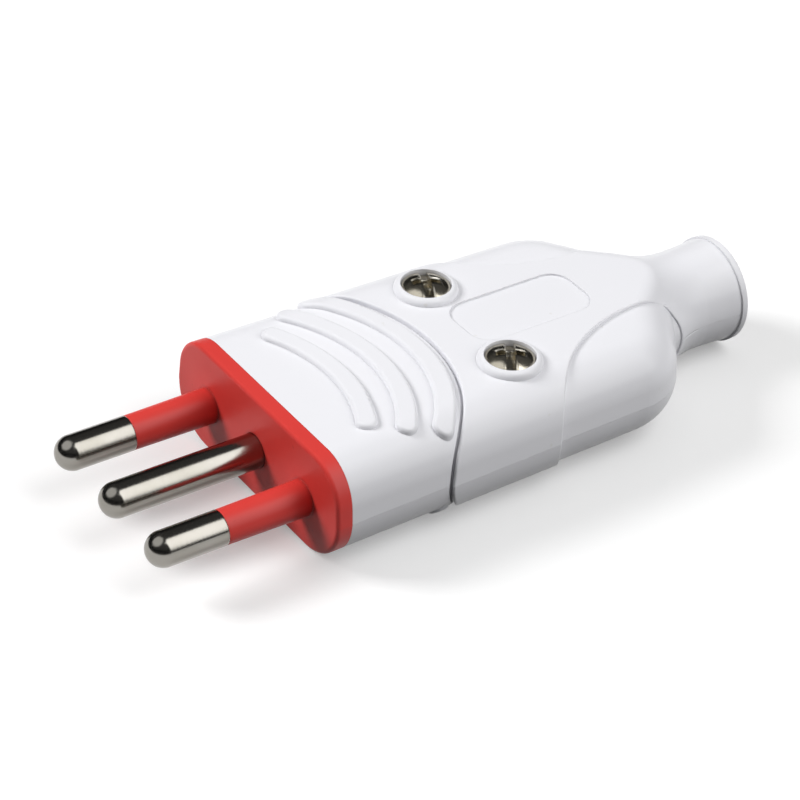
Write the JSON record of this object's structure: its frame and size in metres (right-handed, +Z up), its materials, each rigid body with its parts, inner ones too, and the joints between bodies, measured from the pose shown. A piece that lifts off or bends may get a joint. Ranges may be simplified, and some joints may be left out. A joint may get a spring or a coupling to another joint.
{
  "type": "three-pin electric plug",
  "caption": "Rewirable mains plug with round pins in a row on a coloured carrier, a two-part glossy housing with grip ribs, closing screws and a round cord inlet.",
  "frame": {"origin": "where the middle pin's axis meets the engagement face", "axes": "+X from the pins to the cord inlet, +Y across the row of pins, +Z up, out of the shell with the screw heads"},
  "size_m": [0.0826, 0.0324, 0.0147],
  "materials": {
    "housing": "smooth glossy white moulding",
    "carrier": "satin red moulding",
    "pin_metal": "nickel plating on turned brass",
    "screw_metal": "zinc and nickel plating"
  },
  "bodies": {
    "root": {"upper_shell": "housing", "lower_shell": "housing", "pin_carrier": "carrier", "line_pin": "pin_metal", "earth_pin": "pin_metal", "neutral_pin": "pin_metal", "terminal_screws": "screw_metal", "cord_clamp": "carrier", "clamp_screws": "screw_metal", "cover_screws": "screw_metal", "cover_nuts": "screw_metal"}
  },
  "joints": []
}
